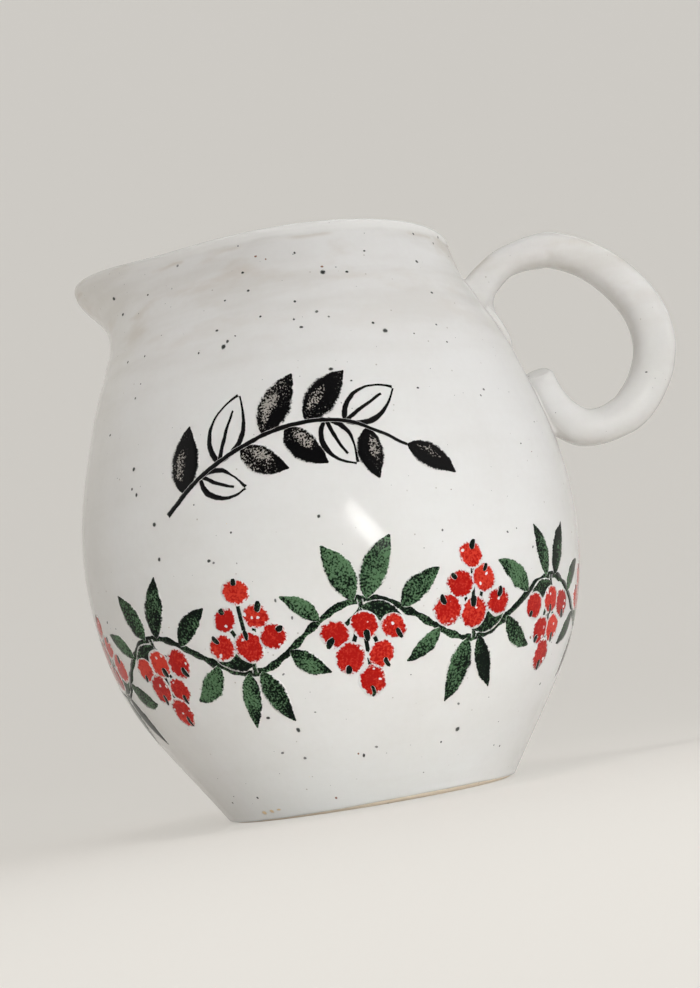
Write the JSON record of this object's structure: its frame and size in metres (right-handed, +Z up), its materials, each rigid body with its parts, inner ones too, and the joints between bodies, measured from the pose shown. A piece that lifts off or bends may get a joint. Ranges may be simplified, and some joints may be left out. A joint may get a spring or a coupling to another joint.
{
  "type": "pitcher",
  "caption": "Small glazed stoneware pitcher: bellied thrown body on a flat bare foot, beaked pouring spout and a coiled loop handle with an upturned tail.",
  "frame": {"origin": "centre of the flat foot, on the plane the pitcher stands on", "axes": "+Z up along the axis of the thrown body, spout towards -X, handle towards +X"},
  "size_m": [0.1388, 0.1094, 0.1238],
  "materials": {
    "stoneware": "bare fired clay, matt",
    "slip": "slip under clear glaze",
    "glaze": "glossy speckled off-white glaze"
  },
  "bodies": {
    "root": {"thrown_body": "stoneware", "spout_lip": "stoneware", "handle_loop": "stoneware", "upper_joint": "slip", "lower_joint": "slip", "body_glaze": "glaze", "liner_glaze": "glaze", "spout_glaze": "glaze", "handle_glaze": "glaze"}
  },
  "joints": []
}
